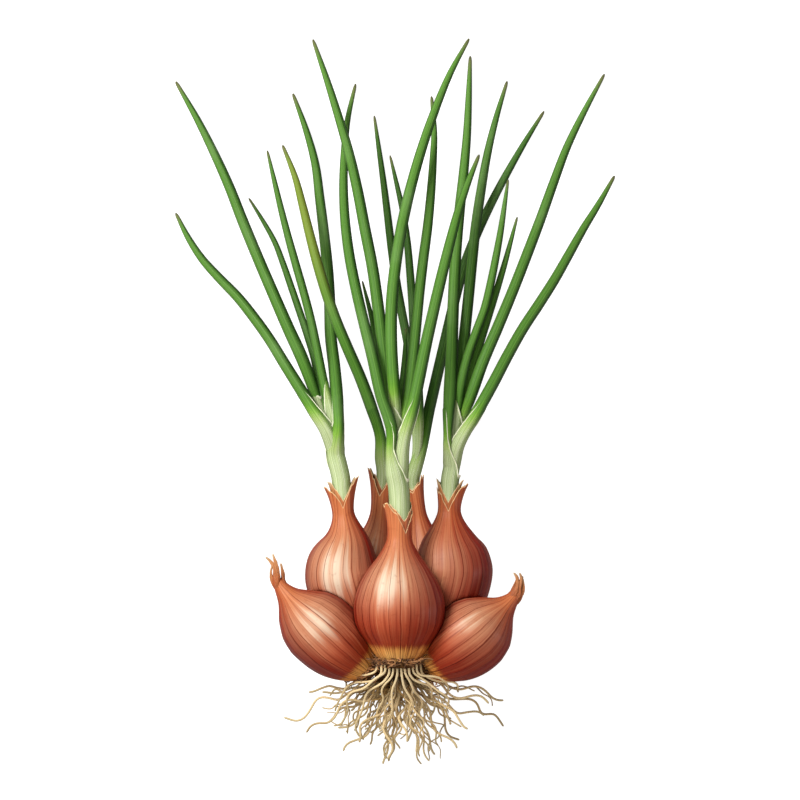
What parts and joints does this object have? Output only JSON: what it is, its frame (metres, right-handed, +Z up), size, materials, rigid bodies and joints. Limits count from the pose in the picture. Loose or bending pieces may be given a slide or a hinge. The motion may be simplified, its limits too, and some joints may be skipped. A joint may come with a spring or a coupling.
{
  "type": "shallot clump",
  "caption": "Clump of coppery shallots joined at one root crown, with green hollow leaves, pale leaf sheaths, dry necks and wiry roots, lying on its back.",
  "frame": {"origin": "middle of the clump's outline seen from above, on the surface that it lies on", "axes": "+Y along the leaves, away from the roots; +Z up, out of the clump's front; +X to the right seen from above with the leaves away from the viewer"},
  "size_m": [0.178, 0.293, 0.0737],
  "materials": {
    "bulb_skin": "thin papery copper skin with a satin sheen and dark veins along it",
    "sheath": "pale green, finely ribbed, satin",
    "leaf": "smooth green with a faint waxy bloom, satin",
    "crown_fibre": "dull brown fibre",
    "root": "dull tan"
  },
  "bodies": {
    "root": {"bulb_back_left": "bulb_skin", "bulb_back_right": "bulb_skin", "bulb_front": "bulb_skin", "bulb_left": "bulb_skin", "bulb_outer_left": "bulb_skin", "bulb_outer_right": "bulb_skin", "bulb_right": "bulb_skin", "leaf_back_left_1": "leaf", "leaf_back_right_1": "leaf", "leaf_back_right_2": "leaf", "leaf_back_right_3": "leaf", "leaf_front_1": "leaf", "leaf_front_2": "leaf", "leaf_front_3": "leaf", "leaf_front_4": "leaf", "leaf_front_5": "leaf", "leaf_front_6": "leaf", "leaf_front_7": "leaf", "leaf_left_1": "leaf", "leaf_left_2": "leaf", "leaf_left_3": "leaf", "leaf_left_4": "leaf", "leaf_left_5": "leaf", "leaf_right_1": "leaf", "leaf_right_2": "leaf", "leaf_right_3": "leaf", "leaf_right_4": "leaf", "leaf_right_5": "leaf", "leaf_right_6": "leaf", "root_01": "root", "root_02": "root", "root_03": "root", "root_04": "root", "root_05": "root", "root_06": "root", "root_07": "root", "root_08": "root", "root_09": "root", "root_10": "root", "root_11": "root", "root_12": "root", "root_13": "root", "root_14": "root", "root_15": "root", "root_16": "root", "root_17": "root", "root_18": "root", "root_19": "root", "root_20": "root", "root_21": "root", "root_22": "root", "root_23": "root", "root_24": "root", "root_crown": "crown_fibre", "shaft_back_left": "sheath", "shaft_back_right": "sheath", "shaft_front": "sheath", "shaft_left": "sheath", "shaft_right": "sheath"}
  },
  "joints": []
}
